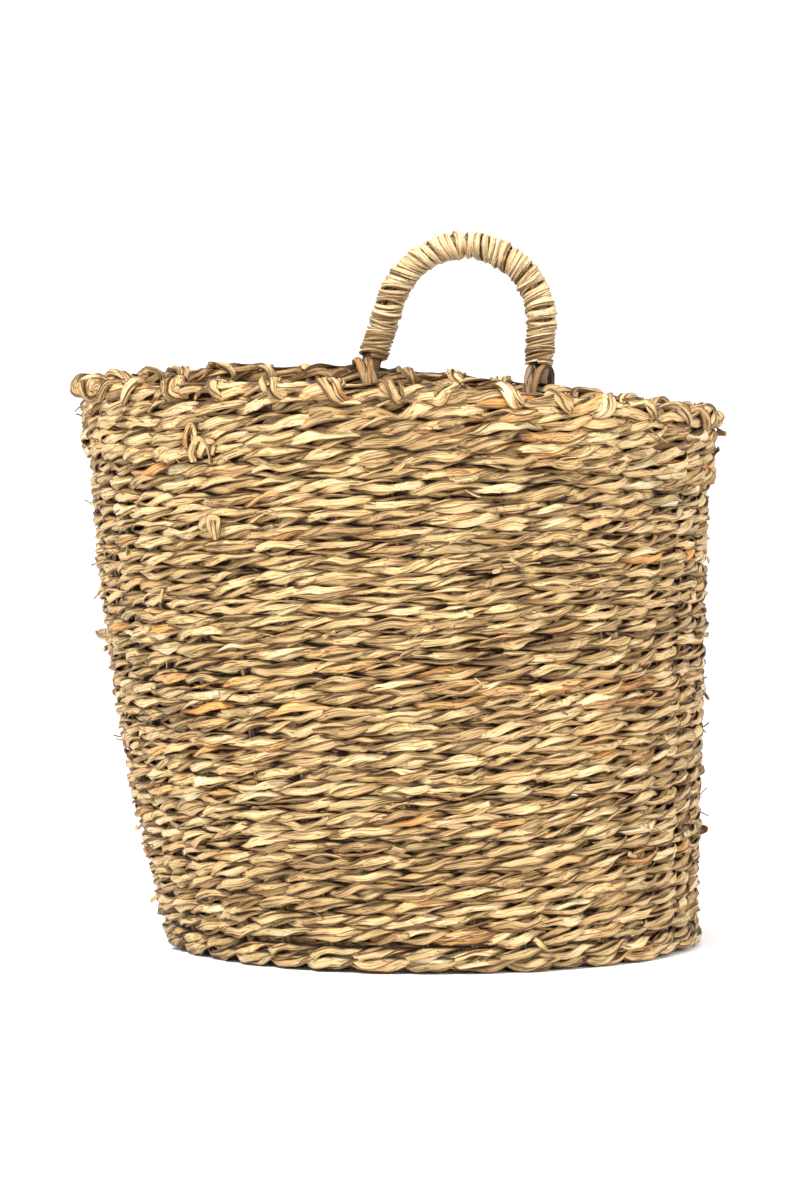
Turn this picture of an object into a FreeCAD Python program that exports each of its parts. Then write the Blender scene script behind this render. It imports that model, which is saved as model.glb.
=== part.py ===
import FreeCAD, Part
import math
import os

from FreeCAD import Vector

# A round storage basket woven from twisted seagrass, with one loop handle at the back.
# Millimetres, +Z up, front towards -Y. The origin is the middle of the base, on the floor.
# Every row of the weave is a pair of strands, one outside and one inside the upright stakes.

SIZES = {
    # stakes: the stiff ribs that run from the base, up the wall and over the rim
    "stake_count": 36,
    "stake_turn": -1.5,
    "stake_thick": 2.8,
    "stake_gap": 0.6,
    "first_stake_radius": 12.5,
    "added_stake_radius": 26.0,
    "stake_tail": 10.0,
    # wall: radii are those of the stakes, heights those of the strand pairs
    "wall_rows": 36,
    "band_rows": 4,
    "strand_thick": 5.0,
    "band_strand_thick": 6.0,
    "strand_lengths": 12,
    "splice_gap_angle": 0.15,
    "foot_radius": 119.2,
    "rim_radius": 140.2,
    "wall_bulge": 3.1,
    "foot_height": 16.0,
    "rim_height": 254.8,
    "rim_shift": -15.0,
    "shift_bulge": -1.2,
    "rim_slope_across": -0.0447,
    "rim_slope_back": 0.062,
    # base
    "base_rows": 14,
    "base_strand_thick": 5.8,
    "base_first_radius": 16.0,
    "base_pitch": 7.2,
    "press_flat": 0.4,
    "hub_radius": 11.0,
    "hub_edge": 2.0,
    "corner_rows": 2,
    "corner_low_angle": -62.0,
    "corner_high_angle": -33.0,
    # handle: a rope arch, bound round with flat strips, that hinges on its two lashings
    "left_root_angle": 96.7,
    "right_root_angle": 60.3,
    "hinge_rise": 12.0,
    "arch_radius": 40.0,
    "arch_along": 49.0,
    "arch_up": 24.0,
    "core_thick": 9.6,
    "wrap_turns": 56,
    "wrap_strip_thick": 2.1,
    "wrap_core_gap": 0.3,
    "wrap_end": 7.0,
    "lashing_thick": 2.6,
    "lashing_half_width": 9.1,
    "lashing_depth": 20.0,
    "lashing_bend": 3.2,
    "lashing_play": 0.4,
}

doc = FreeCAD.newDocument("SeagrassBasket")
sheet = doc.addObject("Spreadsheet::Sheet", "Sizes")
for line, (name, value) in enumerate(SIZES.items(), start=1):
    sheet.set(f"A{line}", name)
    sheet.set(f"B{line}", str(value))
    sheet.setAlias(f"B{line}", name)
doc.recompute()


def size(name):
    """The number that the sheet holds under this name."""
    return float(sheet.get(name))


STAKE_R = size("stake_thick") / 2
GAP = size("stake_gap")
FOOT_Z, RIM_Z = size("foot_height"), size("rim_height")
BASE_STRAND_R = size("base_strand_thick") / 2
SPOKE_Z = 2 * BASE_STRAND_R - size("press_flat") + GAP + STAKE_R
node_objects = []


def keep(obj, node):
    """Marks a document object as one named sub-part of the basket."""
    obj.Label = node
    node_objects.append(obj)
    return obj


def solid_feature(name, shape):
    feature = doc.addObject("Part::Feature", name)
    feature.Shape = shape
    feature.Placement = FreeCAD.Placement()
    return feature


def compound(name, parts):
    group = doc.addObject("Part::Compound", name)
    group.Links = parts
    return group


# ---- the wall's form: where a ring of the weave stands at a fraction up the wall -------------

def ring_frame(up):
    """Centre, the two axes in the ring's plane, and its normal; up is 0 at the foot, 1 at the rim."""
    shift = size("rim_shift") * up + 4 * size("shift_bulge") * up * (1 - up)
    centre = Vector(shift, 0, FOOT_Z + (RIM_Z - FOOT_Z) * up)
    normal = Vector(-size("rim_slope_across") * up, -size("rim_slope_back") * up, 1).normalize()
    turn = FreeCAD.Rotation(Vector(0, 0, 1), normal)
    return centre, turn


def stake_ring_radius(up):
    foot, rim = size("foot_radius"), size("rim_radius")
    return foot + (rim - foot) * up + 4 * size("wall_bulge") * up * (1 - up)


def wall_point(up, angle):
    """A point in the middle of the wall's thickness, where the stakes run."""
    centre, turn = ring_frame(up)
    reach = Vector(math.cos(math.radians(angle)), math.sin(math.radians(angle)), 0)
    return centre + turn.multVec(reach) * stake_ring_radius(up)


def wall_arc(angle):
    """The gentle curve of a stake from the foot of the wall to the rim."""
    return Part.Arc(wall_point(0, angle), wall_point(0.5, angle), wall_point(1, angle))


def arc_end_directions(arc):
    return [Vector(*arc.tangent(at)[0]).normalize() for at in (arc.FirstParameter, arc.LastParameter)]


# ---- rows of the wall ------------------------------------------------------------------------

LENGTHS = int(size("strand_lengths"))


def add_lengths(name, radius, thick, centre, turn, first_splice):
    """One strand round the basket, in separate lengths laid end to end. radius and thick are
    expressions; first_splice is the angle of the first meeting of two lengths."""
    lengths = []
    for number in range(LENGTHS):
        piece = doc.addObject("Part::Torus", f"{name}_{number + 1:02d}")
        piece.setExpression("Radius1", radius)
        piece.setExpression("Radius2", f"{thick} / 2")
        piece.setExpression("Angle3", "360 / Sizes.strand_lengths - Sizes.splice_gap_angle")
        start = first_splice + size("splice_gap_angle") / 2 + 360 * number / LENGTHS
        spin = FreeCAD.Rotation(Vector(0, 0, 1), start)
        piece.Placement = FreeCAD.Placement(centre, turn.multiply(spin))
        lengths.append(piece)
    return lengths


def add_row(node, up, strand, splice):
    """The outer and inner strand of a row, each spliced midway between two stakes."""
    ring_radius = (
        f"Sizes.foot_radius + (Sizes.rim_radius - Sizes.foot_radius) * {up:.6f}"
        f" + 4 * Sizes.wall_bulge * {up:.6f} * {1 - up:.6f}"
    )
    offset = f"(Sizes.stake_thick / 2 + Sizes.stake_gap + Sizes.{strand} / 2)"
    centre, turn = ring_frame(up)
    lengths = []
    for side, sign, later in (("outer", "+", 0), ("inner", "-", 1)):
        lengths += add_lengths(
            f"{node}_{side}", f"{ring_radius} {sign} {offset}", f"Sizes.{strand}",
            centre, turn, splice + later * STAKE_PITCH,
        )
    return keep(compound(node, lengths), node)


WALL_ROWS = int(size("wall_rows"))
STAKE_PITCH = 360 / size("stake_count")
first_splice = size("stake_turn") + STAKE_PITCH / 2
first_band_row = WALL_ROWS - int(size("band_rows")) + 1
for row in range(1, WALL_ROWS + 1):
    strand_size = "band_strand_thick" if row >= first_band_row else "strand_thick"
    splice = first_splice + row * STAKE_PITCH
    add_row(f"wall_row_{row:02d}", (row - 1) / WALL_ROWS, strand_size, splice)
add_row("rim_row", 1.0, "band_strand_thick", first_splice)


# ---- stakes ----------------------------------------------------------------------------------

def tube(edges, radius):
    """A round rod along edges that join without a kink."""
    spine = Part.Wire(edges)
    start = edges[0].firstVertex().Point
    along = edges[0].tangentAt(edges[0].FirstParameter)
    section = Part.Wire([Part.makeCircle(radius, start, along)])
    return spine.makePipeShell([section], True, False)


def tangent_arc(start, corner, end):
    """The arc that joins two runs meeting at corner, at equal distances from it."""
    inward = (start - corner).normalize() + (end - corner).normalize()
    inward.normalize()
    half = (start - corner).getAngle(inward)
    reach = (start - corner).Length
    radius = reach * math.tan(half)
    centre = corner + inward * (reach / math.cos(half))
    return Part.Arc(start, centre - inward * radius, end), radius


def stake_edges(angle, start_radius):
    """Spoke, turn at the foot, wall, fold over the inner rim strand, and tail."""
    wall = wall_arc(angle)
    up_at_foot, up_at_rim = arc_end_directions(wall)
    foot, top = wall_point(0, angle), wall_point(1, angle)
    corner = foot - up_at_foot * ((foot.z - SPOKE_Z) / up_at_foot.z)
    outward = Vector(corner.x, corner.y, 0).normalize()
    reach = (foot - corner).Length
    turn_start = corner - outward * reach
    elbow, elbow_radius = tangent_arc(turn_start, corner, foot)
    spoke = Part.LineSegment(outward * start_radius + Vector(0, 0, SPOKE_Z), turn_start)
    centre, _turn = ring_frame(1)
    across = up_at_rim.cross((centre - top).cross(up_at_rim)).normalize()
    fold_radius = STAKE_R + GAP + size("band_strand_thick") / 2
    tail_top = top + across * (2 * fold_radius)
    fold = Part.Arc(top, top + across * fold_radius + up_at_rim * fold_radius, tail_top)
    tail = Part.LineSegment(tail_top, tail_top - up_at_rim * size("stake_tail"))
    edges = [curve.toShape() for curve in (spoke, elbow, wall, fold, tail)]
    return edges, elbow_radius


STAKES = int(size("stake_count"))
stake_solids = []
elbow_radii = []
for number in range(STAKES):
    stake_angle = size("stake_turn") + 360 * number / STAKES
    inner_end = size("first_stake_radius") if number % 2 == 0 else size("added_stake_radius")
    edges, elbow_radius = stake_edges(stake_angle, inner_end)
    elbow_radii.append(elbow_radius)
    stake_solids.append(tube(edges, STAKE_R))
keep(solid_feature("stakes", Part.makeCompound(stake_solids)), "stakes")


# ---- corner rows: outer strands only, where the stakes turn up from the base ------------------

elbow_radius = sum(elbow_radii) / len(elbow_radii)
elbow_z = SPOKE_Z + elbow_radius
elbow_ring = size("foot_radius") - elbow_radius
for row, low_or_high in enumerate(("corner_low_angle", "corner_high_angle"), start=1):
    reach = elbow_radius + STAKE_R + GAP + size("strand_thick") / 2
    slant = math.radians(size(low_or_high))
    node = f"corner_row_{row}"
    lengths = add_lengths(
        node, f"{elbow_ring + reach * math.cos(slant):.4f} mm", "Sizes.strand_thick",
        Vector(0, 0, elbow_z + reach * math.sin(slant)), FreeCAD.Rotation(),
        first_splice + row * STAKE_PITCH,
    )
    keep(compound(node, lengths), node)


# ---- base: rows above and below the spokes, the lower ones pressed flat on the floor ----------

floor_block = doc.addObject("Part::Box", "floor_block")
floor_block.setExpression("Length", "4 * Sizes.foot_radius")
floor_block.setExpression("Width", "4 * Sizes.foot_radius")
floor_block.setExpression("Height", "Sizes.base_strand_thick")
floor_block.Placement.Base = Vector(
    -2 * size("foot_radius"), -2 * size("foot_radius"), -size("base_strand_thick")
)
for row in range(1, int(size("base_rows")) + 1):
    node = f"base_row_{row:02d}"
    halves = []
    for side, height in (
        ("under", BASE_STRAND_R - size("press_flat")),
        ("over", SPOKE_Z + STAKE_R + GAP + BASE_STRAND_R),
    ):
        ring = doc.addObject("Part::Torus", f"{node}_{side}")
        ring.setExpression("Radius1", f"Sizes.base_first_radius + Sizes.base_pitch * {row - 1}")
        ring.setExpression("Radius2", "Sizes.base_strand_thick / 2")
        ring.Placement.Base = Vector(0, 0, height)
        halves.append(ring)
    pressed = doc.addObject("Part::Cut", f"{node}_pressed")
    pressed.Base, pressed.Tool = halves[0], floor_block
    keep(compound(node, [pressed, halves[1]]), node)

hub = doc.addObject("Part::Cylinder", "hub")
hub.setExpression("Radius", "Sizes.hub_radius")
hub.Height = SPOKE_Z + STAKE_R + GAP + 2 * BASE_STRAND_R
doc.recompute()
rounded_hub = doc.addObject("Part::Fillet", "rounded_hub")
rounded_hub.Base = hub
rounded_hub.Edges = [
    (at, size("hub_edge"), size("hub_edge"))
    for at, edge in enumerate(hub.Shape.Edges, start=1)
    if edge.Curve.TypeId == "Part::GeomCircle"
]
keep(rounded_hub, "base_centre")


# ---- handle ----------------------------------------------------------------------------------

def root_point(angle):
    """Where the hinge line crosses one root of the handle, straight above the rim."""
    up_at_rim = arc_end_directions(wall_arc(angle))[1]
    return wall_point(1, angle) + up_at_rim * (size("hinge_rise") / up_at_rim.z)


left_root = root_point(size("left_root_angle"))
right_root = root_point(size("right_root_angle"))
hinge_line = (right_root - left_root).normalize()
handle_up = (Vector(0, 0, 1) - hinge_line * hinge_line.z).normalize()
arch_centre = left_root + hinge_line * size("arch_along") + handle_up * size("arch_up")


def arch_point(turn):
    """A point on the arch; turn is measured from the hinge line's direction."""
    spread = hinge_line * math.cos(turn) + handle_up * math.sin(turn)
    return arch_centre + spread * size("arch_radius")


def touch_angle(root, outer_side):
    """The turn at which a straight leg from root runs into the arch."""
    to_root = root - arch_centre
    aim = math.atan2(to_root.dot(handle_up), to_root.dot(hinge_line))
    return aim + outer_side * math.acos(size("arch_radius") / to_root.Length)


left_touch = touch_angle(left_root, -1) % (2 * math.pi)
right_touch = touch_angle(right_root, 1)
left_leg = Part.LineSegment(left_root, arch_point(left_touch))
arch = Part.Arc(
    arch_point(left_touch), arch_point((left_touch + right_touch) / 2), arch_point(right_touch)
)
right_leg = Part.LineSegment(arch_point(right_touch), right_root)
handle_edges = [curve.toShape() for curve in (left_leg, arch, right_leg)]

core_r = size("core_thick") / 2
core = tube(handle_edges, core_r)
for root in (left_root, right_root):
    core = core.fuse(Part.makeSphere(core_r, root))
for root in (left_root, right_root):
    hole_r = size("lashing_thick") / 2 + size("lashing_play")
    start = root - hinge_line * (2 * core_r)
    core = core.cut(Part.makeCylinder(hole_r, 4 * core_r, start, hinge_line))
keep(solid_feature("handle_core", core), "handle_core")

handle_wire = Part.Wire(handle_edges)
strip_r = size("wrap_strip_thick") / 2
turns = int(size("wrap_turns"))
wrapped_length = handle_wire.Length - 2 * size("wrap_end")
lengths = [edge.Length for edge in handle_edges]


def along_handle(distance):
    """Point and direction at a distance along the handle from its left root."""
    for edge, length in zip(handle_edges, lengths):
        if distance <= length:
            at = edge.getParameterByLength(distance)
            return edge.valueAt(at), edge.tangentAt(at)
        distance -= length
    raise ValueError("beyond the right root")


wrap_rings = []
for turn in range(turns):
    place, direction = along_handle(size("wrap_end") + wrapped_length * turn / (turns - 1))
    ring = doc.addObject("Part::Torus", f"wrap_turn_{turn + 1:02d}")
    ring.setExpression(
        "Radius1", "Sizes.core_thick / 2 + Sizes.wrap_core_gap + Sizes.wrap_strip_thick / 2"
    )
    ring.setExpression("Radius2", "Sizes.wrap_strip_thick / 2")
    ring.Placement = FreeCAD.Placement(place, FreeCAD.Rotation(Vector(0, 0, 1), direction))
    wrap_rings.append(ring)
keep(compound("handle_wrap", wrap_rings), "handle_wrap")


def lashing(root, angle):
    """A strand tucked between the wall's strands, up through the rope and back down."""
    spread = math.degrees(size("lashing_half_width") / size("rim_radius"))
    rim_clear = size("band_strand_thick") / 2 + GAP
    points = []
    for side in (-1, 1):
        # the angle falls from left to right, as seen from the front
        beside = angle - side * spread
        up_at_rim = arc_end_directions(wall_arc(beside))[1]
        rim = wall_point(1, beside)
        tucked = rim - up_at_rim * size("lashing_depth")
        clear = rim + up_at_rim * rim_clear
        bar = root + hinge_line * (side * size("lashing_half_width"))
        leg = [tucked, clear, bar]
        points += leg if side < 0 else leg[::-1]
    edges = []
    run_start = points[0]
    for before, corner, after in zip(points, points[1:], points[2:]):
        bend = size("lashing_bend") * math.tan((corner - before).getAngle(after - corner) / 2)
        arc_start = corner + (before - corner).normalize() * bend
        arc_end = corner + (after - corner).normalize() * bend
        edges.append(Part.LineSegment(run_start, arc_start).toShape())
        edges.append(tangent_arc(arc_start, corner, arc_end)[0].toShape())
        run_start = arc_end
    edges.append(Part.LineSegment(run_start, points[-1]).toShape())
    return tube(edges, size("lashing_thick") / 2)


for side, root in (("left", left_root), ("right", right_root)):
    node = f"handle_lashing_{side}"
    keep(solid_feature(node, lashing(root, size(f"{side}_root_angle"))), node)


# ---- check and write -------------------------------------------------------------------------

doc.recompute()
for obj in doc.Objects:
    if {"Invalid", "Error"} & set(obj.State):
        raise RuntimeError(f"{obj.Name} failed: {obj.State}")
os.makedirs("parts", exist_ok=True)
for obj in node_objects:
    if obj.Shape.isNull() or not obj.Shape.isValid() or not obj.Shape.Solids:
        raise RuntimeError(f"{obj.Label} has no valid solid")
for obj in node_objects:
    obj.Shape.exportStep(f"parts/{obj.Label}.step")
print(f"{len(node_objects)} sub-parts written")
print(f"hinge line from {tuple(left_root)} towards {tuple(hinge_line)}")
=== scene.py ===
import math

import bpy
import numpy as np
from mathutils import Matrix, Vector


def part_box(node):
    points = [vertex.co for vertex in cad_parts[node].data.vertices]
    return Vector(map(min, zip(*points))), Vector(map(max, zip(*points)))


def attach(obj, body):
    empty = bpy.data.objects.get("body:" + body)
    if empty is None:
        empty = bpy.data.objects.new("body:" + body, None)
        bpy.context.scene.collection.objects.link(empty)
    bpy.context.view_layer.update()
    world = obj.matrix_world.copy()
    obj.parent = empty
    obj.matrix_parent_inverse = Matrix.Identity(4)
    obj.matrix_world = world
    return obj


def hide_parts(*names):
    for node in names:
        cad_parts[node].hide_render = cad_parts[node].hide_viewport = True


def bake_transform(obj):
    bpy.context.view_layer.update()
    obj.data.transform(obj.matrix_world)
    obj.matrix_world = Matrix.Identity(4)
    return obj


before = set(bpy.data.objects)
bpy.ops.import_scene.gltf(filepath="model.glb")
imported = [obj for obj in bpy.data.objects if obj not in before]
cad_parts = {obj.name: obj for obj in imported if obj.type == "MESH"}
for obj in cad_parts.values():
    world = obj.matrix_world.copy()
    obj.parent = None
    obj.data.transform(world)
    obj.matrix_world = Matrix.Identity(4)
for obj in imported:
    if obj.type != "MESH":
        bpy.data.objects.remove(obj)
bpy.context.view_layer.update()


# ---- Studio ------------------------------------------------------------------------------------
# A white floor under soft light from above and in front, and a long lens level with the middle
# of the basket, so that the mouth is seen almost edge on.

EYE_HEIGHT = 0.193
VIEW_DISTANCE = 1.532
AIM_HEIGHT = 0.160
LENS = 97.9

rim_low, rim_high = (Vector(corner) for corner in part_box("rim_row"))
mouth_x = (rim_low.x + rim_high.x) / 2

scene = bpy.context.scene
scene.view_settings.view_transform = "Standard"
camera = bpy.data.objects.new("camera", bpy.data.cameras.new("camera"))
scene.collection.objects.link(camera)
camera.data.lens = LENS
camera.location = (mouth_x, -VIEW_DISTANCE, EYE_HEIGHT)
camera.rotation_euler = (math.pi / 2 - math.atan((EYE_HEIGHT - AIM_HEIGHT) / VIEW_DISTANCE), 0, 0)
scene.camera = camera

world = bpy.data.worlds.new("studio")
scene.world = world
world.use_nodes = True
world.node_tree.nodes["Background"].inputs["Color"].default_value = (1, 1, 1, 1)
world.node_tree.nodes["Background"].inputs["Strength"].default_value = 1.15


def softbox(name, place, aim, across, watts):
    """A square lamp at place that faces aim."""
    lamp = bpy.data.lights.new(name, "AREA")
    lamp.size = across
    lamp.energy = watts
    box = bpy.data.objects.new(name, lamp)
    box.location = place
    box.rotation_euler = (Vector(aim) - Vector(place)).to_track_quat("-Z", "Y").to_euler()
    scene.collection.objects.link(box)


basket_middle = (0, 0, 0.13)
softbox("key", (-0.7, -1.3, 1.6), basket_middle, 0.35, 47)
softbox("fill", (1.4, -1.3, 0.9), basket_middle, 0.5, 13)
softbox("top", (0.1, -0.3, 1.9), basket_middle, 0.5, 13)

floor_mesh = bpy.data.meshes.new("floor")
floor_mesh.from_pydata([(-9, -4, 0), (9, -4, 0), (9, 14, 0), (-9, 14, 0)], [], [(0, 1, 2, 3)])
floor = bpy.data.objects.new("floor", floor_mesh)
scene.collection.objects.link(floor)
paper = bpy.data.materials.new("white_paper")
paper.use_nodes = True
paper.node_tree.nodes["Principled BSDF"].inputs["Base Color"].default_value = (0.9, 0.9, 0.9, 1)
paper.node_tree.nodes["Principled BSDF"].inputs["Roughness"].default_value = 0.9
floor_mesh.materials.append(paper)


# ---- Base --------------------------------------------------------------------------------------
# Rows of twined seagrass round a small button. Each row is a pair of strands twisted round each
# other, so that one passes under a spoke and the other over it, and a strand is a loose bundle
# of long flat leaves.

class Wire:
    """An output in a node tree. Arithmetic on it adds Math or Vector Math nodes."""

    def __init__(self, tree, socket=None):
        self.tree = tree
        self.socket = socket

    def node(self, kind, sockets=None, output=0, **settings):
        """Adds a node, sets its settings first and then its sockets, and returns one output."""
        made = self.tree.nodes.new(kind)
        stops = settings.pop("stops", ())
        for name, value in settings.items():
            setattr(made, name, value)
        for _ in stops[2:]:
            made.color_ramp.elements.new(1)
        for element, (place, colour) in zip(made.color_ramp.elements if stops else (), stops):
            element.position = place
            element.color = (*colour, 1)
        for name, value in (sockets or {}).items():
            if isinstance(value, Wire):
                self.tree.links.new(value.socket, made.inputs[name])
            else:
                made.inputs[name].default_value = value
        return Wire(self.tree, made.outputs[output])

    def of(self, output):
        """Another output of the node that this one comes from."""
        return Wire(self.tree, self.socket.node.outputs[output])

    def maths(self, operation, *values):
        return self.node("ShaderNodeMath", dict(enumerate(values)), operation=operation)

    def scaled(self, factor):
        """This vector times a number."""
        return self.node("ShaderNodeVectorMath", {0: self, "Scale": factor}, operation="SCALE")

    def plus(self, other):
        """This vector plus another."""
        return self.node("ShaderNodeVectorMath", {0: self, 1: other}, operation="ADD")

    def __add__(self, other):
        return self.maths("ADD", self, other)

    def __sub__(self, other):
        return self.maths("SUBTRACT", self, other)

    def __mul__(self, other):
        return self.maths("MULTIPLY", self, other)

    def __rsub__(self, other):
        return self.maths("SUBTRACT", other, self)

    __radd__, __rmul__ = __add__, __mul__

    def __pow__(self, other):
        return self.maths("POWER", self, other)

    def __abs__(self):
        return self.maths("ABSOLUTE", self)


def leaf_tree():
    """A node tree that sweeps a leaf along the edges of a mesh. Each point of the mesh says how
    far the leaf reaches to its flat side (lay) and to its edge (side) there."""
    tree = bpy.data.node_groups.new("Seagrass leaf", "GeometryNodeTree")
    for name, kind, default in (
        ("Path", "Geometry", None),
        ("Section points", "Int", 6),
        ("Rumple", "Float", 0.5),
        ("Rumple scale", "Float", 260.0),
        ("Sharp above", "Float", 0.75),
        ("Material", "Material", None),
    ):
        item = tree.interface.new_socket(name, in_out="INPUT", socket_type=f"NodeSocket{kind}")
        if default is not None:
            item.default_value = default
    tree.interface.new_socket("Leaf", in_out="OUTPUT", socket_type="NodeSocketGeometry")
    start = Wire(tree, tree.nodes.new("NodeGroupInput").outputs[0])

    def read(name, kind="FLOAT"):
        return start.node("GeometryNodeInputNamedAttribute", {"Name": name}, data_type=kind)

    def store(geometry, name, value, kind="FLOAT_VECTOR"):
        sockets = {"Geometry": geometry, "Name": name, "Value": value}
        return start.node("GeometryNodeStoreNamedAttribute", sockets, data_type=kind, domain="POINT")

    position = start.node("GeometryNodeInputPosition")
    circle = start.node("GeometryNodeCurvePrimitiveCircle", {"Resolution": start.of("Section points")})
    circle = store(circle, "section", position)
    spine = start.node("GeometryNodeMeshToCurve", {"Mesh": store(start, "heart", position)})
    swept = start.node(
        "GeometryNodeCurveToMesh", {"Curve": spine, "Profile Curve": circle, "Fill Caps": True}
    )
    across = start.node("ShaderNodeSeparateXYZ", {0: read("section", "FLOAT_VECTOR")})
    edgewise = across.of("Y")
    lumps = start.node(
        "ShaderNodeTexNoise",
        {"Vector": position, "Scale": start.of("Rumple scale"), "Detail": 2.0},
        noise_dimensions="3D",
    )
    swell = (lumps - 0.5) * start.of("Rumple") + 1.0
    reach = read("lay", "FLOAT_VECTOR").scaled(across).plus(read("side", "FLOAT_VECTOR").scaled(edgewise))
    proud = read("depth") + read("lay_out") * across + read("side_out") * edgewise
    swept = store(swept, "proud", proud, "FLOAT")
    placed = start.node(
        "GeometryNodeSetPosition",
        {"Geometry": swept, "Position": read("heart", "FLOAT_VECTOR").plus(reach.scaled(swell))},
    )
    angle = start.node("GeometryNodeInputMeshEdgeAngle")
    soft = start.node("FunctionNodeCompare", {0: angle, 1: start.of("Sharp above")}, operation="LESS_THAN")
    smooth = start.node("GeometryNodeSetShadeSmooth", {0: placed}, domain="FACE")
    creased = start.node("GeometryNodeSetShadeSmooth", {0: smooth, "Shade Smooth": soft}, domain="EDGE")
    single = start.node("GeometryNodeRealizeInstances", {0: creased})
    finished = start.node("GeometryNodeSetMaterial", {0: single, "Material": start.of("Material")})
    tree.links.new(finished.socket, tree.nodes.new("NodeGroupOutput").inputs[0])
    return tree


LEAF_TREE = leaf_tree()
VECTORS, NUMBERS = ("lay", "side"), ("run", "tone", "tint", "depth", "lay_out", "side_out")


def lay_leaves(name, leaves, material, body, slot, nodes=(), **options):
    """Sweeps every leaf along its path, makes them one plain mesh object, and hands it over."""
    count = [len(leaf["points"]) for leaf in leaves]
    starts = np.concatenate([[0], np.cumsum(count)])
    edges = []
    for leaf, first, points in zip(leaves, starts, count):
        order = np.arange(points)
        pairs = np.stack([order, (order + 1) % points], 1) + first
        edges.append(pairs if leaf["closed"] else pairs[:-1])
    spine = bpy.data.meshes.new(name)
    spine.from_pydata(np.concatenate([p["points"] for p in leaves]), np.concatenate(edges), [])
    for key in VECTORS + NUMBERS:
        kind, field = ("FLOAT_VECTOR", "vector") if key in VECTORS else ("FLOAT", "value")
        values = np.concatenate([p[key] for p in leaves]).astype(np.float32)
        spine.attributes.new(key, kind, "POINT").data.foreach_set(field, values.ravel())
    laid = bpy.data.objects.new(name, spine)
    scene.collection.objects.link(laid)
    sweep = laid.modifiers.new("leaves", "NODES")
    sweep.node_group = LEAF_TREE
    inputs = [item for item in LEAF_TREE.interface.items_tree if item.in_out == "INPUT"]
    identifiers = {item.name: item.identifier for item in inputs}
    for key, value in {"Material": material, **options}.items():
        sweep[identifiers[key]] = value
    evaluated = laid.evaluated_get(bpy.context.evaluated_depsgraph_get())
    finished = bpy.data.meshes.new_from_object(evaluated)
    laid.modifiers.remove(sweep)
    laid.data = finished
    bpy.data.meshes.remove(spine)
    finished.name = name
    if nodes:
        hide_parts(*nodes)
    if body:
        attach(laid, body)
    return laid


def unit(vectors):
    return vectors / np.linalg.norm(vectors, axis=-1, keepdims=True)


chance = np.random.default_rng(20)


def drift(spread, knots, samples, closed=True):
    """Random values that change smoothly along a path, with a fresh one at each of its knots."""
    values = chance.normal(0, spread, knots + 1)
    if closed:
        values[-1] = values[0]
    place = np.linspace(0, knots, samples, endpoint=not closed)
    low = np.minimum(place.astype(int), knots - 1)
    ease = (1 - np.cos((place - low) * math.pi)) / 2
    return values[low] * (1 - ease) + values[low + 1] * ease


def directions(points, facing, closed):
    """Unit vectors square to a path: one nearest to facing, and one edgewise."""
    if closed:
        forward = unit(np.roll(points, -1, 0) - np.roll(points, 1, 0))
    else:
        forward = unit(np.gradient(points, axis=0))
    flat = unit(facing - (facing * forward).sum(1, keepdims=True) * forward)
    return flat, np.cross(forward, flat)


def bundle(points, face, thick, tall, closed, twist, leaves=3, leaf=(0.0014, 0.0042),
           middle=None, strand=0.005, tone=0.0, tint=0.0, ragged=1.0, taper=1.0):
    """The leaves of one strand, side by side round its heart. thick and tall are the strand's
    size towards face and across it, leaf is one leaf's thickness and width, taper narrows it
    towards an end, and middle is the line that the depth of a crevice is measured from, and its
    direction."""
    samples = len(points)
    flat, edge = directions(points, face, closed)
    steps = np.linalg.norm(np.diff(points, axis=0), axis=1)
    run = np.concatenate([[0], np.cumsum(steps)])
    knots = max(2, round(run[-1] / 0.011))
    made = []
    for number in range(leaves):
        turn = twist + 2 * math.pi * number / leaves + drift(0.35 * ragged, knots, samples, closed)
        across, along = np.cos(turn)[:, None], np.sin(turn)[:, None]
        half_thick, half_tall = (thick / 2)[:, None], (tall / 2)[:, None]
        loose = drift(0.00022 * ragged, knots, samples, closed)[:, None]
        normal = unit(flat * across / half_thick + edge * along / half_tall)
        heart = points + flat * across * (half_thick - leaf[0] / 2)
        heart = heart + edge * along * (half_tall - leaf[0] / 2) + normal * loose
        if leaves == 1:
            heart, normal = points, flat
        lay, side = directions(heart, normal, closed)
        roll = drift(0.26 * ragged, knots, samples, closed)[:, None]
        lay, side = lay * np.cos(roll) + side * np.sin(roll), side * np.cos(roll) - lay * np.sin(roll)
        width = np.clip(1 + drift(0.17 * ragged, knots, samples, closed), 0.55, 1.5)
        width = taper * leaf[1] / 2 * width
        depth_of_leaf = leaf[0] / 2 * np.clip(1 + drift(0.2, knots, samples, closed), 0.6, 1.5)
        lay, side = lay * depth_of_leaf[:, None], side * width[:, None]
        if middle is None:
            depth, lay_out, side_out = np.ones(samples), np.zeros(samples), np.zeros(samples)
        else:
            line, out = middle
            depth = ((heart - line) * out).sum(1) / strand
            lay_out, side_out = (lay * out).sum(1) / strand, (side * out).sum(1) / strand
        slow = max(2, knots // 9)
        made.append({
            "points": heart, "lay": lay, "side": side, "closed": closed,
            "run": run[:samples] + chance.uniform(0, 9),
            "tone": (
                0.5 + tone + drift(0.11 * ragged, slow, samples, closed)
                + drift(0.07, knots, samples, closed)
            ),
            "tint": tint + drift(0.30 * ragged, slow, samples, closed),
            "depth": depth, "lay_out": lay_out, "side_out": side_out,
        })
    return made


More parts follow.
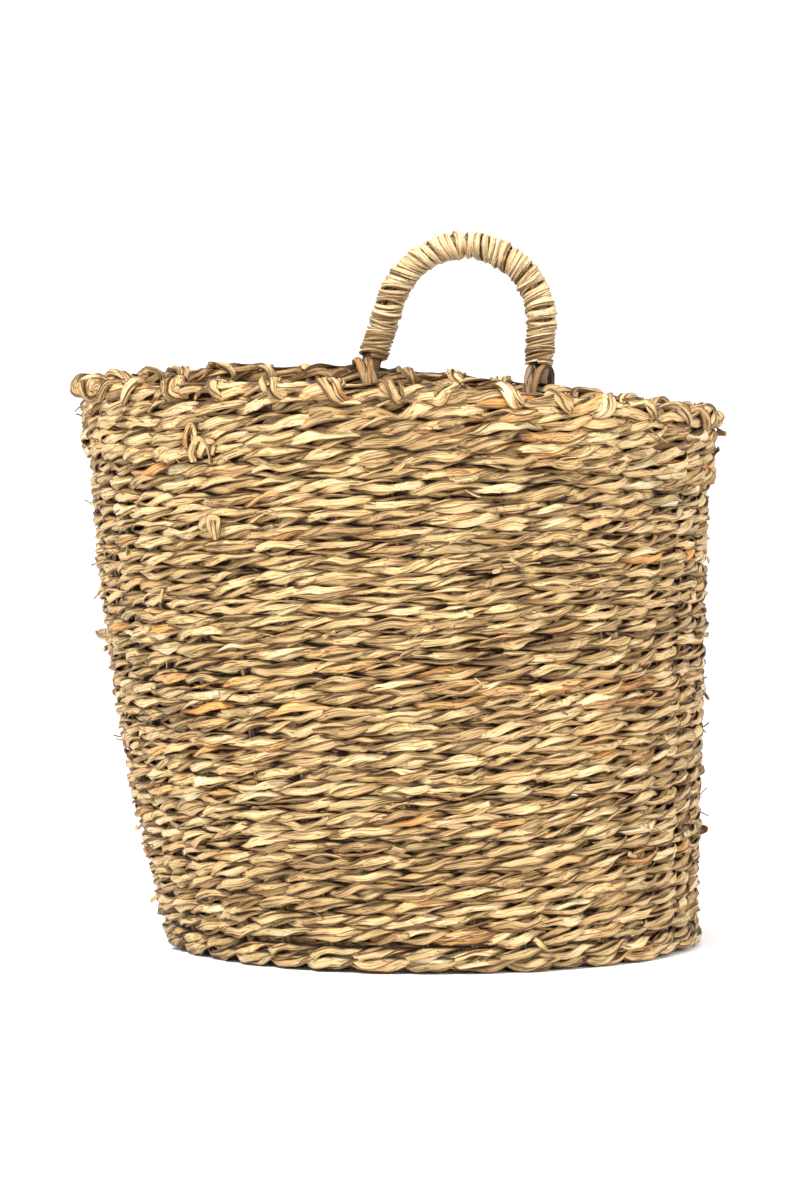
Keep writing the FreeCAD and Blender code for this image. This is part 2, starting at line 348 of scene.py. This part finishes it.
def seagrass(name, deep, dark, middle, pale, bleached):
    """Dried leaves: fine fibres along each leaf, darker edges that are painted shade between
    neighbouring leaves, patches of lighter and darker straw, painted shade in the crevices between
    the strands, and painted shade on the inner side of the wall."""
    material = bpy.data.materials.new(name)
    material.use_nodes = True
    shader = material.node_tree.nodes["Principled BSDF"]
    start = Wire(material.node_tree)

    def read(attribute):
        return start.node("ShaderNodeAttribute", attribute_name=attribute, output="Fac")

    def clamped(value, low, high, to_low, to_high):
        sockets = {"Value": value, 1: low, 2: high, 3: to_low, 4: to_high}
        return start.node("ShaderNodeMapRange", sockets, interpolation_type="SMOOTHSTEP")

    section = start.node("ShaderNodeAttribute", attribute_name="section", output="Vector")
    across = start.node("ShaderNodeSeparateXYZ", {0: section})
    edgewise = across.of("Y")
    run, tone, tint = read("run"), read("tone"), read("tint")
    place = start.node("ShaderNodeCombineXYZ", {0: edgewise * 5.0, 1: across * 1.5 + tone, 2: run * 60.0})
    sockets = {"Vector": place, "Scale": 1.6, "Detail": 4.0, "Roughness": 0.6}
    fibres = start.node("ShaderNodeTexNoise", sockets)
    place = start.node("ShaderNodeCombineXYZ", {0: edgewise * 0.8, 1: tone * 3.0, 2: run * 70.0})
    patches = start.node("ShaderNodeTexNoise", {"Vector": place, "Scale": 1.0, "Detail": 2.0})
    place = start.node("ShaderNodeCombineXYZ", {0: edgewise * 1.7, 1: across + tone * 7.0, 2: run * 26.0})
    splits = start.node("ShaderNodeTexNoise", {"Vector": place, "Scale": 1.3, "Detail": 1.0})
    split = clamped(abs(splits - 0.5), 0.012, 0.05, 1.0, 0.0)
    light = tone + (fibres - 0.5) * 0.60 + (patches - 0.5) * 0.55
    # painted shade: the edges of every leaf are darkened into thin dark lines between neighbouring leaves
    light = light - abs(edgewise) ** 6.0 * 1.15 - split * 0.35
    ramp = [(0.0, deep), (0.25, dark), (0.5, middle), (0.75, pale), (1.0, bleached)]
    colour = start.node("ShaderNodeValToRGB", {0: light}, stops=ramp)

    def multiplied(by, colour, factor):
        sockets = {"Factor": factor, 6: colour, 7: (*by, 1)}
        return start.node("ShaderNodeMix", sockets, output=2, data_type="RGBA", blend_type="MULTIPLY")

    colour = multiplied((1.0, 0.64, 0.26), colour, clamped(tint, 0.05, 0.95, 0.0, 1.0))
    colour = multiplied((0.80, 0.87, 0.84), colour, clamped(tint, -0.05, -0.7, 0.0, 1.0))
    proud = read("proud")
    # painted shade: the inner side of the wall, where proud is below zero, is multiplied by a darker brown
    # as if in shade
    colour = multiplied((0.74, 0.66, 0.56), colour, clamped(proud, 0.0, -0.3, 0.0, 1.0))
    # painted shade: surfaces that lie deep between the strands, where abs(proud) is small, are multiplied
    # towards dark brown
    shade = clamped(abs(proud), 0.10, 0.30, 0.0, 1.0)
    colour = multiplied((0.10, 0.055, 0.03), colour, 1.0 - shade)
    material.node_tree.links.new(colour.socket, shader.inputs["Base Color"])
    rough = (fibres - 0.5) * 0.3 + 0.55
    material.node_tree.links.new(rough.socket, shader.inputs["Roughness"])
    height = fibres - abs(edgewise) ** 4.0 - split
    bump = start.node("ShaderNodeBump", {"Height": height, "Strength": 0.6, "Distance": 0.0005})
    material.node_tree.links.new(bump.socket, shader.inputs["Normal"])
    shader.inputs["Specular IOR Level"].default_value = 0.4
    return material


weave_grass = seagrass(
    "woven_seagrass",
    deep=(0.10, 0.050, 0.014),
    dark=(0.32, 0.190, 0.070),
    middle=(0.58, 0.390, 0.170),
    pale=(0.70, 0.535, 0.315),
    bleached=(0.84, 0.745, 0.585),
)

STAKES = 36
STAKE_TURN = math.radians(-1.5)
STAKE_ANGLES = STAKE_TURN + np.arange(STAKES) * 2 * math.pi / STAKES
STAKE_SPACE = 0.0020
HIGH_SIDE = math.atan2(0.062, -0.0447)
SADDLE, HIGH_BACK = 0.0045, 0.0038
LEVEL = np.array([0, 0, 1.0])
# in strand sizes: how far a strand swings out past a stake and up where it crosses the other,
# how thick and how tall it is, and one leaf's thickness and width
SWING, CLIMB = 0.56, 0.28
THICK, TALL_AT_CROSSING, TALL_GAIN = 0.68, 0.78, 0.54
LEAF_THICK, LEAF_WIDE = 0.20, 0.84
LEAF_TURN_LENGTH = 0.200
rows = []


def wobble(angle, up, seed):
    """Slow waves that neighbouring rows share, between about -1 and 1. up is the height as a
    share of the wall's."""
    waves = np.random.default_rng(seed)
    total = 0
    for lobes in (2, 3, 4, 6, 9):
        phase, shift = waves.uniform(0, 2 * math.pi), waves.normal(0, 2.6)
        total = total + np.sin(lobes * angle + phase + shift * up) * waves.uniform(0.3, 1) / lobes**0.5
    return total / 1.6


def twined_row(centre, radius, strand, up=0.0, slope=0.0, slant=0.0, stitches=STAKES, steps=10, out=0.0,
               leaves=4):
    """The leaves of the two strands of a row, which wind round each other like the plies of a
    rope. slant is 0 on the wall and a quarter turn down on the base, and out is how far the row
    stands outside the line of the stakes. The mouth is a little saddle-shaped and higher at the
    back."""
    samples = stitches * steps
    angle = np.arange(samples) * 2 * math.pi / samples + math.pi / 2
    outward = np.stack([np.cos(angle), np.sin(angle), np.zeros(samples)], 1)
    face = outward * math.cos(slant) + LEVEL * math.sin(slant)
    rise = LEVEL * math.cos(slant) - outward * math.sin(slant)
    wall = up > 0
    lift = slope * radius * np.cos(angle - HIGH_SIDE) - wall * SADDLE * up**2 * np.cos(2 * angle)
    lift = lift + wall * HIGH_BACK * up**4 * np.clip(np.cos(angle - HIGH_SIDE), 0, 1) ** 1.5
    lift = lift + wall * 0.0012 * wobble(angle, up, 5) + drift(0.00022, stitches, samples)
    bulge = wall * 0.0014 * wobble(angle, up, 9) + drift(0.0003, stitches // 2, samples)
    spine = centre + outward * (radius + out + bulge)[:, None] + rise * lift[:, None]
    rows.append({"spine": spine, "face": face, "strand": strand})
    made = []
    slip = chance.normal(0, 0.15) + drift(0.30, stitches // 2, samples)
    for number in (0, 1):
        phase = (angle - STAKE_TURN) * stitches / 2 + math.pi * number + slip
        phase = phase + drift(0.14, stitches, samples)
        over, above = np.cos(phase), np.sin(phase)
        reach = strand * SWING * over + drift(0.0003, stitches, samples)
        climb = strand * CLIMB * above + drift(0.0005, stitches, samples)
        points = spine + face * reach[:, None] + rise * climb[:, None]
        girth = 1 + drift(0.12, stitches, samples)
        thick = strand * THICK * girth
        tall = strand * (TALL_AT_CROSSING + TALL_GAIN * np.abs(over)) * girth
        turns = round(stitches / 2 - 2 * math.pi * radius / LEAF_TURN_LENGTH)
        twist = chance.uniform(0, 6) + np.arange(samples) * turns * 2 * math.pi / samples
        made += bundle(
            points, face * over[:, None] + rise * above[:, None], thick, tall, True, twist, leaves,
            leaf=(LEAF_THICK * strand, LEAF_WIDE * strand), middle=(spine, face), strand=strand,
        )
    return made


def middle_of(node):
    low, high = (np.array(corner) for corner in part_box(node))
    return low, high, (low + high) / 2


BASE_STRAND = 0.0058
BUTTON_STRAND, BUTTON_TURNS, BUTTON_HEIGHT = 0.0056, 2.6, 0.0040
BASE_SPREAD = 0.0052

low, high, centre = middle_of("base_centre")
share = np.linspace(0, 1, 120)
spread = 0.0023 + (high[0] - 0.0026) * np.abs(2 * share - 1)
turned = BUTTON_TURNS * 4 * math.pi * share
coil = np.stack([spread * np.cos(turned), spread * np.sin(turned), np.zeros(120)], 1)
coil[:, 2] = centre[2] + BUTTON_HEIGHT * np.tanh((share - 0.5) * 14)
even = np.full(120, BUTTON_STRAND)
button = bundle(coil, np.tile(LEVEL, (120, 1)), even, even, False, 14 * share, leaf=(0.0018, 0.005))
lay_leaves("base_button", button, weave_grass, "root", "seagrass_weave", ["base_centre"])

BASE_ROWS = sum(name.startswith("base_row_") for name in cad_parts)
for row in range(1, BASE_ROWS + 1):
    node = f"base_row_{row:02d}"
    low, high, centre = middle_of(node)
    centre[2] = high[2] - BASE_STRAND - STAKE_SPACE
    radius = high[0] - BASE_STRAND / 2
    stitches = 12 if radius < 0.030 else 18 if radius < 0.060 else STAKES
    leaves = twined_row(
        centre, radius, BASE_STRAND, slant=-math.pi / 2, stitches=stitches, steps=6, leaves=3,
        out=BASE_SPREAD * (row / BASE_ROWS) ** 3,
    )
    lay_leaves(f"twined_{node}", leaves, weave_grass, "root", "seagrass_weave", [node])


# ---- Corner rows -------------------------------------------------------------------------------
# Two rows round the bend where the stakes turn up from the base, each leaning part of the way.
# The lower one is pressed flat where it meets the floor.

CORNER_DROP = 0.003
for node, lean, out in (("corner_row_1", -62, 0.0076), ("corner_row_2", -33, 0.0038)):
    slant = math.radians(lean)
    low, high, centre = middle_of(node)
    strand = high[2] - low[2]
    inside = STAKE_SPACE + strand / 2
    centre[2] -= inside * math.sin(slant)
    radius = high[0] - strand / 2 - inside * math.cos(slant)
    centre[2] -= CORNER_DROP
    leaves = twined_row(centre, radius, strand, slant=slant, out=out)
    laid = lay_leaves(f"twined_{node}", leaves, weave_grass, "root", "seagrass_weave", [node])
    for vertex in laid.data.vertices:
        vertex.co.z = max(vertex.co.z, 0.0002)


# ---- Wall rows and border row ------------------------------------------------------------------
# The wall widens and leans a little, and each row tilts more than the one below it. The top
# rows and the border row are of thicker strands and stand proud of the rest.

STRAND, BAND_STRAND = 0.0050, 0.0060
BAND_ROWS, BAND_OUT = 4, 0.0034
WALL_ROWS = sum(name.startswith("wall_row_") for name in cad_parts)
wall_nodes = [f"wall_row_{row:02d}" for row in range(1, WALL_ROWS + 1)] + ["rim_row"]
for row, node in enumerate(wall_nodes):
    in_band = row >= WALL_ROWS - BAND_ROWS
    strand = BAND_STRAND if in_band else STRAND
    low, high, centre = middle_of(node)
    outer = (high[0] - low[0]) / 2
    slope = (high[2] - low[2] - strand) / (2 * outer)
    up = row / WALL_ROWS + 0.001
    centre[0] -= 0.0014 + 0.0018 * math.sin(math.pi * up)
    leaves = twined_row(
        centre, outer - strand - STAKE_SPACE, strand, up=up, slope=slope,
        out=BAND_OUT if in_band else 0.0015 + 0.0016 * math.cos(up * math.pi / 2),
    )
    lay_leaves(f"twined_{node}", leaves, weave_grass, "root", "seagrass_weave", [node])


# ---- Stakes and the folds over the border ------------------------------------------------------
# Stiff stakes run out from the button as spokes, turn up at the corner and stand inside the
# wall. Each one's end is bent out over the border row and tucked in beside the next stake. Beside
# the two roots of the handle the end is bound in with it, so it has no fold.

def at_angles(row, angles):
    """Points on a row's middle line, and the directions its strands face, at given angles."""
    samples = len(row["spine"])
    place = ((angles - math.pi / 2) % (2 * math.pi)) / (2 * math.pi) * samples
    low = np.floor(place).astype(int)
    share = (place - low)[:, None]
    return [
        row[key][low % samples] * (1 - share) + row[key][(low + 1) % samples] * share
        for key in ("spine", "face")
    ]


def smooth_path(knots, samples):
    """A curve through every knot."""
    knots = np.asarray(knots)
    padded = np.concatenate([[2 * knots[0] - knots[1]], knots, [2 * knots[-1] - knots[-2]]])
    place = np.linspace(0, len(knots) - 1, samples)
    low = np.minimum(place.astype(int), len(knots) - 2)
    t = (place - low)[:, None]
    a, b, c, d = padded[low], padded[low + 1], padded[low + 2], padded[low + 3]
    bend = t**2 * (a - 2.5 * b + 2 * c - d / 2) + t**3 * (1.5 * b - a / 2 - 1.5 * c + d / 2)
    return b + t * (c - a) / 2 + bend


stations = [at_angles(row, STAKE_ANGLES) for row in rows]
stake_leaves = []
for number in range(STAKES):
    first = 0 if number % 2 == 0 else 3
    path = smooth_path([spine[number] for spine, _ in stations[first:]], 120)
    facing = smooth_path([face[number] for _, face in stations[first:]], 120)
    even = np.full(120, 0.0030)
    stake_leaves += bundle(
        path, facing, even, even, False, 5 * np.linspace(0, 1, 120), leaves=2,
        leaf=(0.0014, 0.0030), tone=-0.12,
    )
stake_grass = seagrass(
    "stake_seagrass",
    deep=(0.08, 0.045, 0.02),
    dark=(0.19, 0.115, 0.055),
    middle=(0.34, 0.225, 0.115),
    pale=(0.52, 0.38, 0.22),
    bleached=(0.72, 0.58, 0.38),
)
lay_leaves("woven_in_stakes", stake_leaves, stake_grass, "root", "stake_grass", ["stakes"])

# the line between the handle's two roots, about which it bends
LEFT_ROOT = np.array([-0.031668, 0.139337, 0.276137])
HINGE = np.array([0.978724, -0.197433, -0.055848])
RIGHT_ROOT = LEFT_ROOT + HINGE * 0.0884
BOUND_IN = 0.012

fold_leaves = []
for spine, outward in zip(*stations[-1]):
    if min(np.linalg.norm((spine - root)[:2]) for root in (LEFT_ROOT, RIGHT_ROOT)) < BOUND_IN:
        continue
    onward = np.cross(LEVEL, outward) * (1 if chance.random() < 0.8 else -1)
    size = chance.uniform(0.85, 1.1)
    knots = [
        spine + (outward * o + LEVEL * z + onward * t) * size / 1000
        for o, z, t in (
            (-4.0, -2.8, -5.0), (-4.8, 0.4, -4.0), (-3.6, 3.2, -2.4), (0.0, 4.4, -0.8), (3.4, 3.8, 0.8),
            (5.2, 1.6, 2.6), (5.0, -0.8, 4.8), (2.0, -2.2, 7.4),
        )
    ]
    knots = np.array(knots) + chance.normal(0, 0.0005, (8, 3))
    path = smooth_path(knots, 34)
    away = unit(path - (spine + outward * 0.002))
    along = np.linspace(0, 1, 34)
    swell = np.sin(along**1.5 * math.pi)
    fold_leaves += bundle(
        path, away, 0.0022 + 0.0012 * swell, 0.0036 + 0.0066 * swell, False,
        chance.uniform(0, 6) + 1.2 * along, leaves=7, leaf=(0.0011, 0.0050), ragged=0.9,
        tone=chance.normal(-0.06, 0.06), taper=0.35 + 0.65 * swell,
    )
lay_leaves("border_folds", fold_leaves, weave_grass, "root", "seagrass_weave")


# ---- Handle ------------------------------------------------------------------------------------
# A rope arch of bundled rush, bound from root to root with one narrow pale strip, and lashed
# to the border at both roots with darker strips that cross.

HANDLE_UP = unit(LEVEL - HINGE * HINGE[2])
ARCH_RADIUS, ARCH_ALONG, ARCH_UP = 0.040, 0.049, 0.024
ARCH_CENTRE = LEFT_ROOT + HINGE * ARCH_ALONG + HANDLE_UP * ARCH_UP
ROPE_BELOW_ROOT = 0.004
CORE, WRAP_RADIUS = 0.0096, 0.0062


def arch_touch(root, side):
    """The angle on the arch at which a straight leg from the root joins it."""
    aim = math.atan2((root - ARCH_CENTRE) @ HANDLE_UP, (root - ARCH_CENTRE) @ HINGE)
    return aim + side * math.acos(ARCH_RADIUS / np.linalg.norm(root - ARCH_CENTRE))


turns = np.linspace(arch_touch(LEFT_ROOT, -1) % (2 * math.pi), arch_touch(RIGHT_ROOT, 1), 60)[:, None]
arch = ARCH_CENTRE + ARCH_RADIUS * (HINGE * np.cos(turns) + HANDLE_UP * np.sin(turns))
rope_ends = [[root - HANDLE_UP * ROPE_BELOW_ROOT] for root in (LEFT_ROOT, RIGHT_ROOT)]
rope_line = np.concatenate([rope_ends[0], arch, rope_ends[1]])
rope_run = np.concatenate([[0], np.cumsum(np.linalg.norm(np.diff(rope_line, axis=0), axis=1))])
handle_back = np.cross(HINGE, HANDLE_UP)


def along_rope(distance):
    return np.stack([np.interp(distance, rope_run, rope_line[:, axis]) for axis in range(3)], -1)


core_path = along_rope(np.linspace(0, rope_run[-1], 120))
core_face = np.tile(handle_back, (120, 1))
even = np.full(120, CORE)
core_leaves = bundle(
    core_path, core_face, even, even, False, 12 * np.linspace(0, 1, 120), leaves=5,
    leaf=(0.003, 0.0065),
)
lay_leaves("rope_core", core_leaves, stake_grass, "handle", "core_grass", ["handle_core"])

WRAP_TURNS, WRAP_START = 57, 0.0102
PER_TURN = 22
samples = WRAP_TURNS * PER_TURN
share = np.linspace(0, 1, samples)
distance = WRAP_START + (rope_run[-1] - 2 * WRAP_START) * share
distance = distance + drift(0.0004, WRAP_TURNS, samples, closed=False)
heart = along_rope(distance)
forward = unit(np.gradient(along_rope(rope_run[-1] * share), axis=0))
upward = np.cross(forward, handle_back)
round_rope = 2 * math.pi * WRAP_TURNS * share
away = handle_back * np.cos(round_rope)[:, None] + upward * np.sin(round_rope)[:, None]
swell = WRAP_RADIUS + drift(0.0003, WRAP_TURNS * 2, samples, closed=False)
slanted = 0.0017 * np.sin(round_rope + drift(0.9, WRAP_TURNS, samples, closed=False))
strip_path = heart + away * swell[:, None] + forward * slanted[:, None]
wrap_leaves = bundle(
    strip_path, away, np.full(samples, 0.0022), np.full(samples, 0.0036), False,
    math.pi / 2 + 3 * share, leaves=2, leaf=(0.0019, 0.0034), ragged=0.7, tone=0.10, tint=-0.05,
)
wrap_grass = seagrass(
    "wrap_strips",
    deep=(0.17, 0.09, 0.035),
    dark=(0.38, 0.24, 0.11),
    middle=(0.60, 0.43, 0.22),
    pale=(0.74, 0.57, 0.34),
    bleached=(0.88, 0.78, 0.57),
)
lay_leaves("rope_wrap", wrap_leaves, wrap_grass, "handle", "wrap_strip", ["handle_wrap"])

LASHING_LOOPS, LASHING_DEEP, LASHING_TALL, LASHING_DROP = 7, 0.0086, 0.0122, 0.0085
for side, root in (("left", LEFT_ROOT), ("right", RIGHT_ROOT)):
    outward = unit(np.array([root[0] - mouth_x, root[1], 0]))
    beside = np.cross(outward, LEVEL)
    loops = []
    for number in range(LASHING_LOOPS):
        u = np.arange(40) * 2 * math.pi / 40 + chance.uniform(0, 6)
        lean = (0.0030 if number % 2 else -0.0030) * chance.uniform(0.5, 1.2)
        shift = chance.uniform(-0.0030, 0.0030)
        grow = 1 + 0.05 * (number % 3)
        across = LASHING_DEEP * grow * np.sign(np.cos(u)) * np.abs(np.cos(u)) ** 0.8
        tall = LASHING_TALL * grow * np.sin(u)
        path = (
            root + outward * across[:, None] + LEVEL * (tall - LASHING_DROP)[:, None]
            + beside * (lean * np.sin(u) + shift)[:, None]
        )
        away = unit(path - root + LEVEL * LASHING_DROP)
        loops += bundle(
            path, away, np.full(40, 0.0020), np.full(40, 0.0042), True, np.zeros(40),
            leaves=2, leaf=(0.0013, 0.0032), ragged=0.9, tone=chance.normal(-0.04, 0.08), tint=0.5,
        )
    lashing = lay_leaves(
        f"root_lashing_{side}", loops, stake_grass, None, "lashing_strand", [f"handle_lashing_{side}"],
    )
    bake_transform(lashing)


# ---- Loose ends --------------------------------------------------------------------------------
# Where leaves start and stop in the weave their ends show: thin fibres that stand off the wall,
# short cut ends that lie across a strand, and a few that have curled right round.

def on_wall(row_number, angle):
    """A point just under the surface of a wall row, and the directions out and along."""
    row = rows[row_number]
    spine, face = (value[0] for value in at_angles(row, np.array([angle])))
    return spine + face * row["strand"] * 0.75, face, np.cross(LEVEL, face)


FIRST_WALL, LOOSE_ENDS = BASE_ROWS + 2, 230
ends = []
for _ in range(LOOSE_ENDS):
    row_number = chance.integers(FIRST_WALL, len(rows))
    origin, face, onward = on_wall(row_number, chance.uniform(0, 2 * math.pi))
    if chance.random() < 0.12:  # on the inside of the basket
        face = -face
        origin = origin + face * 0.0110
    along = np.linspace(0, 1, 12)[:, None]
    way = unit(onward * chance.choice((-1, 1)) + LEVEL * chance.normal(0.1, 0.45))
    kind = chance.random()
    if kind < 0.60:
        length, stand, leaf = chance.uniform(0.004, 0.011), chance.uniform(0.001, 0.004), (0.0005, 0.0007)
    elif kind < 0.95:
        length, stand, leaf = chance.uniform(0.004, 0.009), chance.uniform(0.0003, 0.0018), (0.0009, 0.0026)
    else:
        length, stand, leaf = 0.010, 0.005, (0.0009, 0.0026)
    bow = chance.normal(0, 0.3)
    path = origin + way * along * length + LEVEL * bow * length * along * (1 - along)
    path = path + face * (0.0015 * np.sqrt(along) + stand * along**2)
    if kind >= 0.95:
        turn = along * 4.6
        path = origin + face * (0.0015 + 0.004 * np.sin(turn / 1.5)) + way * 0.0045 * (1 - np.cos(turn))
        path = path + LEVEL * 0.003 * along
    ends += bundle(
        path, np.tile(face, (12, 1)), np.full(12, leaf[0]), np.full(12, leaf[1]), False,
        np.zeros(12), leaves=1, leaf=leaf, tone=chance.normal(-0.03, 0.10), ragged=0.8,
    )

# pairs of bent ends that stand out more than the rest
BENT_ENDS = ((27, 236.8), (27, 235.6), (32, 234.7), (33, 233.6), (32, 236.2), (0, 341.0))
for wall_row, degrees in BENT_ENDS:
    origin, face, onward = on_wall(FIRST_WALL + wall_row, math.radians(degrees))
    knots = [
        origin + (face * o + LEVEL * z + onward * t) / 1000
        for o, z, t in (
            (0, -2.0, -4.0), (3.0, 1.5, -3.4), (4.5, 4.5, -0.5), (4.0, 3.0, 3.5), (2.0, -2.0, 3.0),
        )
    ]
    path = smooth_path(np.array(knots) + chance.normal(0, 0.0012, (5, 3)), 18)
    ends += bundle(
        path, np.tile(face, (18, 1)), np.full(18, 0.0016), np.full(18, 0.0036), False, np.zeros(18),
        leaves=2, leaf=(0.0009, 0.0034), tone=chance.normal(-0.06, 0.08),
    )
lay_leaves("loose_ends", ends, weave_grass, "root", "seagrass_weave", Rumple=0.2)
